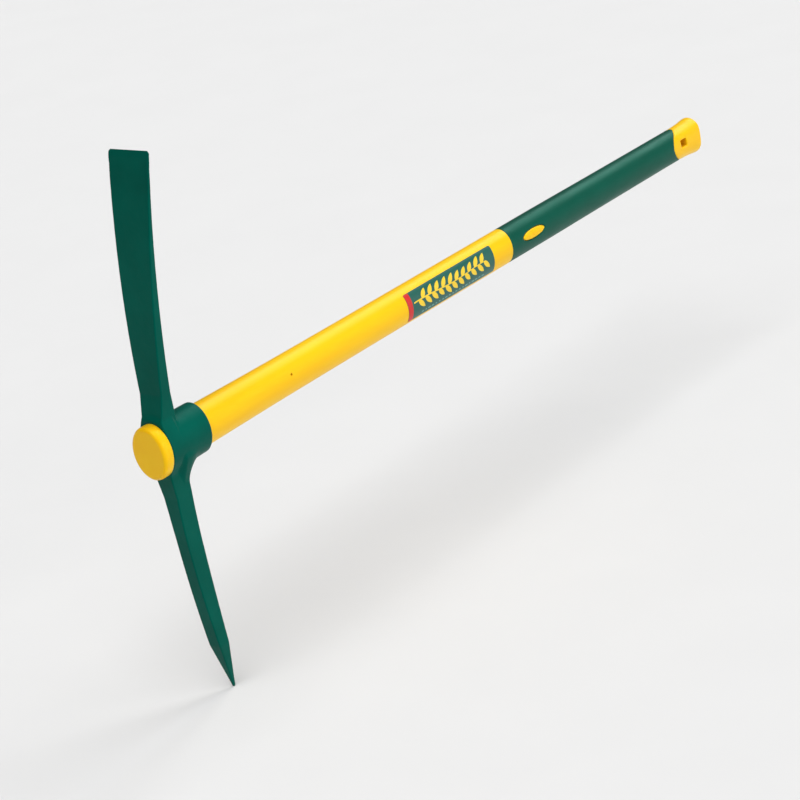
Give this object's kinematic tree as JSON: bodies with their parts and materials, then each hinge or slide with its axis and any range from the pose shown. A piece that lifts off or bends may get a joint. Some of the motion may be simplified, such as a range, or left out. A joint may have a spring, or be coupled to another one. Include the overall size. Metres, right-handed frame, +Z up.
{
  "type": "pick mattock",
  "caption": "Pick mattock with a forged adze-and-pick head on an oval glass-fibre handle, with a soft rear grip and a tail cap for hanging.",
  "frame": {"origin": "centre of the flat oval face at the head end of the handle", "axes": "+Y along the handle to its tail, +Z up the adze blade, X across the blade's width"},
  "size_m": [0.0494, 0.888, 0.519],
  "materials": {
    "head_paint": "satin dark green paint on forged steel",
    "glass_fibre": "pultruded glass-fibre rod",
    "handle_plastic": "satin yellow polypropylene",
    "grip_elastomer": "soft matt green elastomer",
    "label_film": "printed film with a plain motif"
  },
  "bodies": {
    "root": {"pick_head": "head_paint", "core_rod": "glass_fibre", "handle_body": "handle_plastic", "grip_sleeve": "grip_elastomer", "tail_cap": "handle_plastic", "label": "label_film"}
  },
  "joints": []
}
